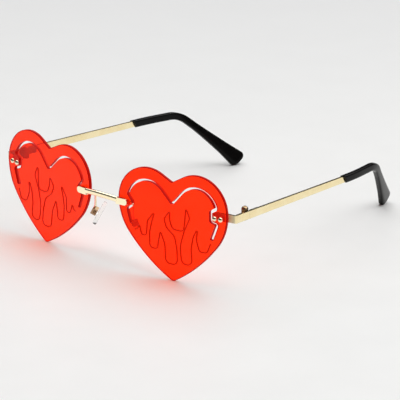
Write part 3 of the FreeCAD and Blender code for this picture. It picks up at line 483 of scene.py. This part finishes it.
def corner_arc(before, corner, after, radius, count):
    """Points of the arc that rounds a corner of the line."""
    back = (before - corner).normalized()
    on = (after - corner).normalized()
    half = back.angle(on) / 2
    centre = corner + (back + on).normalized() * radius / math.sin(half)
    reach = radius / math.tan(half)
    first = (corner + back * reach - centre).normalized()
    last = (corner + on * reach - centre).normalized()
    return [centre + first.slerp(last, step / count) * radius for step in range(count + 1)]


def superellipse(angle, squareness):
    """Point of a rounded rectangle of half sizes 1."""
    c = math.cos(angle)
    s = math.sin(angle)
    return math.copysign(abs(c) ** squareness, c), math.copysign(abs(s) ** squareness, s)


def tip_line():
    """Middle line of the left tip, the share of its size at each point, and where bend and tail start."""
    bow = corner_arc(TIP_FRONT, TIP_BOW, TIP_BEND, BOW_RADIUS, BOW_STEPS)
    ear = corner_arc(TIP_BOW, TIP_BEND, TIP_END, EAR_RADIUS, EAR_STEPS)
    line = run(TIP_FRONT, bow[0], RUN_STEPS) + bow[:-1] + run(bow[-1], ear[0], RUN_STEPS)
    bend_start = len(line)
    line += ear[:-1]
    tail_start = len(line)
    cap_start = TIP_END + (ear[-1] - TIP_END).normalized() * CAP_LENGTH
    line += run(ear[-1], cap_start, TAIL_STEPS)
    shares = [1.0] * len(line)
    for step in range(CAP_STEPS):
        angle = CAP_TURN * step
        line.append(cap_start.lerp(TIP_END, math.sin(angle) ** CAP_BLUNTNESS))
        shares.append(math.cos(angle) ** CAP_BLUNTNESS)
    return line, shares, bend_start, tail_start


def tip_ring(at, onwards, twist, flare, share, near_end, lean):
    """Ring about a point of the tip's line, leaning back at the front and sooner at its end below."""
    across = onwards.cross(TEMPLE_UP).normalized()
    up = across.cross(onwards)
    turned_up = up * math.cos(twist) + across * math.sin(twist)
    turned_across = across * math.cos(twist) - up * math.sin(twist)
    halves = zip(SLEEVE_HALF, PADDLE_HALF)
    high, wide = ((sleeve + (paddle - sleeve) * flare) * share for sleeve, paddle in halves)
    middle = at - turned_up * PADDLE_DROP * flare
    ring = []
    for step in range(RING_POINTS):
        u, v = superellipse(2 * math.pi * step / RING_POINTS, RING_SQUARENESS)
        reach = u * share
        sooner = near_end * (END_SLANT * (1 - reach) / 2 + END_ROUND * abs(reach) ** 3)
        back = sooner + lean * high * u
        ring.append(middle + turned_up * high * u + turned_across * wide * v - onwards * back)
    return ring


def tip_rings():
    """Rings of points down the left ear tip, in millimetres."""
    line, shares, bend_start, tail_start = tip_line()
    tail = line[tail_start]
    tail_way = TIP_END - tail
    rings = []
    for index, at in enumerate(line):
        if index < tail_start:
            onwards = (line[index + 1] - line[max(index - 1, 0)]).normalized()
            gone = 0.0
            near_end = 0.0
        else:
            onwards = tail_way.normalized()
            gone = (at - tail).length / tail_way.length
            near_end = clamp(1 - (TIP_END - at).length / SLANT_LENGTH)
        twist = TIP_TWIST * clamp((index - bend_start) / (tail_start - bend_start))
        flare = clamp((gone - FLARE_START) / (1 - FLARE_START)) ** FLARE_EASE
        lean = TIP_SLANT * clamp(1 - index / RUN_STEPS)
        rings.append(tip_ring(at, onwards, twist, flare, shares[index], near_end, lean))
    return rings


def add_mesh(name, points, faces, material):
    mesh = bpy.data.meshes.new(name)
    mesh.from_pydata(points, [], faces)
    mesh.materials.append(material)
    piece = bpy.data.objects.new(name, mesh)
    scene.collection.objects.link(piece)
    return piece


def make_ear_tip(side):
    """Closed skin over the rings of an ear tip, mirrored for the right side."""
    hand = HANDS[side]
    rings = tip_rings()
    points = [(hand * point.x * MM, point.y * MM, point.z * MM) for ring in rings for point in ring]
    faces = []
    for first in range(0, len(points) - RING_POINTS, RING_POINTS):
        second = first + RING_POINTS
        for step in range(RING_POINTS):
            beside = (step + 1) % RING_POINTS
            faces.append((first + step, first + beside, second + beside, second + step))
    faces.append(tuple(reversed(range(RING_POINTS))))
    faces.append(tuple(range(len(points) - RING_POINTS, len(points))))
    if side == "right":
        faces = [tuple(reversed(face)) for face in faces]
    piece = add_mesh(f"ear_tip_{side}", points, faces, black_tip)
    for face in piece.data.polygons:
        face.use_smooth = len(face.vertices) == 4
    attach(piece, f"temple_{side}")
    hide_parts(f"temple_tip_{side}")


for side in HANDS:
    make_ear_tip(side)


# Floor, light and camera


FLOOR_REACH = 40.0
FLOOR_TONES = ((0.83, 0.83, 0.82), (0.85, 0.85, 0.84))
FLOOR_CLOUD_SCALE = 30.0
FLOOR_ROUGHNESS = 0.55
# the floor has painted shade, a little darker behind the glasses: its tone there, the way to its front, and
# the distances along that way between which it changes
FLOOR_BACK_SHADE = (0.74, 0.74, 0.74)
FLOOR_FRONT = (0.65, -0.76, 0.0)
FLOOR_FADE = (-0.1, -0.5)
# the bright ceiling begins between these heights, and this much higher straight in front
SKY_EDGE = (0.42, 0.6)
SKY_FRONT_RISE = 1.3
SKY_DARK = (0.03, 0.03, 0.03)
SKY_LIGHT = (1.0, 1.0, 1.0)
SKY_STRENGTH = 1.93
KEY_PLACE = Vector((0.5, 0.43, 1.0))
KEY_SIZE = 0.6
KEY_POWER = 1.2
CAMERA_TARGET = Vector((21.06, -33.09, 23.77)) * MM
CAMERA_DISTANCE = 1159.2 * MM
CAMERA_AZIMUTH = math.radians(40.8)
CAMERA_ELEVATION = math.radians(19.02)
CAMERA_FOCAL = 227.86
CAMERA_SENSOR = 36.0
CAMERA_CLIP = 0.01


def make_floor():
    """Pale seamless floor, with painted shade a little darker behind the glasses."""
    material, tree, shader = new_material("floor_paper")
    place = place_in_part(tree)
    tint = mottled(tree, place, FLOOR_CLOUD_SCALE, FLOOR_TONES)
    # painted shade: the floor darkens behind the glasses
    behind = map_range(tree, along(tree, place, FLOOR_FRONT), *FLOOR_FADE)
    feed_all(tree, shader, {
        "Base Color": blend_colours(tree, behind, tint, FLOOR_BACK_SHADE),
        "Roughness": FLOOR_ROUGHNESS,
    })
    corners = [(x * FLOOR_REACH, y * FLOOR_REACH, 0.0) for x, y in ((-1, -1), (1, -1), (1, 1), (-1, 1))]
    floor = add_mesh("floor", corners, [(0, 1, 2, 3)], material)


def make_world():
    """Bright ceiling over a dark surround that reaches higher in front, mirrored as dark lines in edges."""
    world = bpy.data.worlds.new("studio")
    scene.world = world
    world.use_nodes = True
    tree = world.node_tree
    direction = new_node(tree, "ShaderNodeTexCoord", {}).outputs["Generated"]
    front = map_range(tree, along(tree, direction, FORWARD), 0.0, 1.0)
    height = maths(tree, "MULTIPLY_ADD", front, -SKY_FRONT_RISE, axis_of(tree, direction, "Z"))
    low, high = SKY_EDGE
    sky = ramp(tree, height, [(0.0, SKY_DARK), (low, SKY_DARK), (high, SKY_LIGHT)])
    feed_all(tree, tree.nodes["Background"], {"Color": sky, "Strength": SKY_STRENGTH})


def add_looking(name, data, place, direction):
    """Object at a place in the scene that looks in a direction."""
    holder = bpy.data.objects.new(name, data)
    holder.location = place
    holder.rotation_euler = direction.to_track_quat("-Z", "Y").to_euler()
    scene.collection.objects.link(holder)
    return holder


def make_key_light():
    """Soft square light from behind and above, turned to the middle of the foot."""
    light = bpy.data.lights.new("key", "AREA")
    light.shape = "RECTANGLE"
    light.size = KEY_SIZE
    light.size_y = KEY_SIZE
    light.energy = KEY_POWER
    add_looking("key", light, KEY_PLACE, -KEY_PLACE)


def make_camera():
    camera = bpy.data.cameras.new("camera")
    camera.lens = CAMERA_FOCAL
    camera.sensor_width = CAMERA_SENSOR
    camera.clip_start = CAMERA_CLIP
    level = math.cos(CAMERA_ELEVATION)
    towards = Vector((math.sin(CAMERA_AZIMUTH) * level,
                      -math.cos(CAMERA_AZIMUTH) * level,
                      math.sin(CAMERA_ELEVATION)))
    scene.camera = add_looking("camera", camera, CAMERA_TARGET + towards * CAMERA_DISTANCE, -towards)


make_floor()
make_world()
make_key_light()
make_camera()
